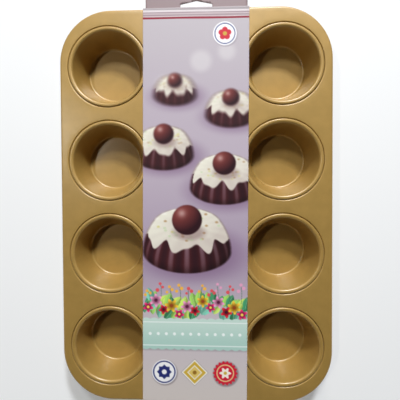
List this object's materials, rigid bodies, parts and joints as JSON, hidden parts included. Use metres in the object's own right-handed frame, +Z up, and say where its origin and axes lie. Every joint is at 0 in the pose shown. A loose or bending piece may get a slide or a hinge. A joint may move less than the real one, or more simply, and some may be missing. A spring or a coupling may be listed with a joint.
{
  "type": "muffin pan",
  "caption": "Rectangular muffin pan with round cups seated in a pressed frame with a rolled rim, in a wrap-round card sleeve with a hanging header.",
  "frame": {"origin": "on the surface the pan stands on, under the middle of the grid of cups", "axes": "+X across the pan, +Y along it towards the sleeve's header, +Z up, out of the cups"},
  "size_m": [0.2654, 0.4128, 0.0316],
  "materials": {
    "gold_coating": "satin champagne-gold non-stick coating with fine metallic flake",
    "plain_steel": "bright drawn wire",
    "printed_card": "printed and varnished white-lined card"
  },
  "bodies": {
    "pan": {"frame_sheet": "gold_coating", "rim_wire": "plain_steel", "cup_row1_left": "gold_coating", "cup_row1_middle": "gold_coating", "cup_row1_right": "gold_coating", "cup_row2_left": "gold_coating", "cup_row2_middle": "gold_coating", "cup_row2_right": "gold_coating", "cup_row3_left": "gold_coating", "cup_row3_middle": "gold_coating", "cup_row3_right": "gold_coating", "cup_row4_left": "gold_coating", "cup_row4_middle": "gold_coating", "cup_row4_right": "gold_coating"},
    "sleeve": {"sleeve": "printed_card"}
  },
  "joints": [
    {"name": "sleeve_slide", "type": "slide", "parent": "pan", "child": "sleeve", "axis": [1, 0, 0], "range_m": [-0.19, 0.19]}
  ]
}
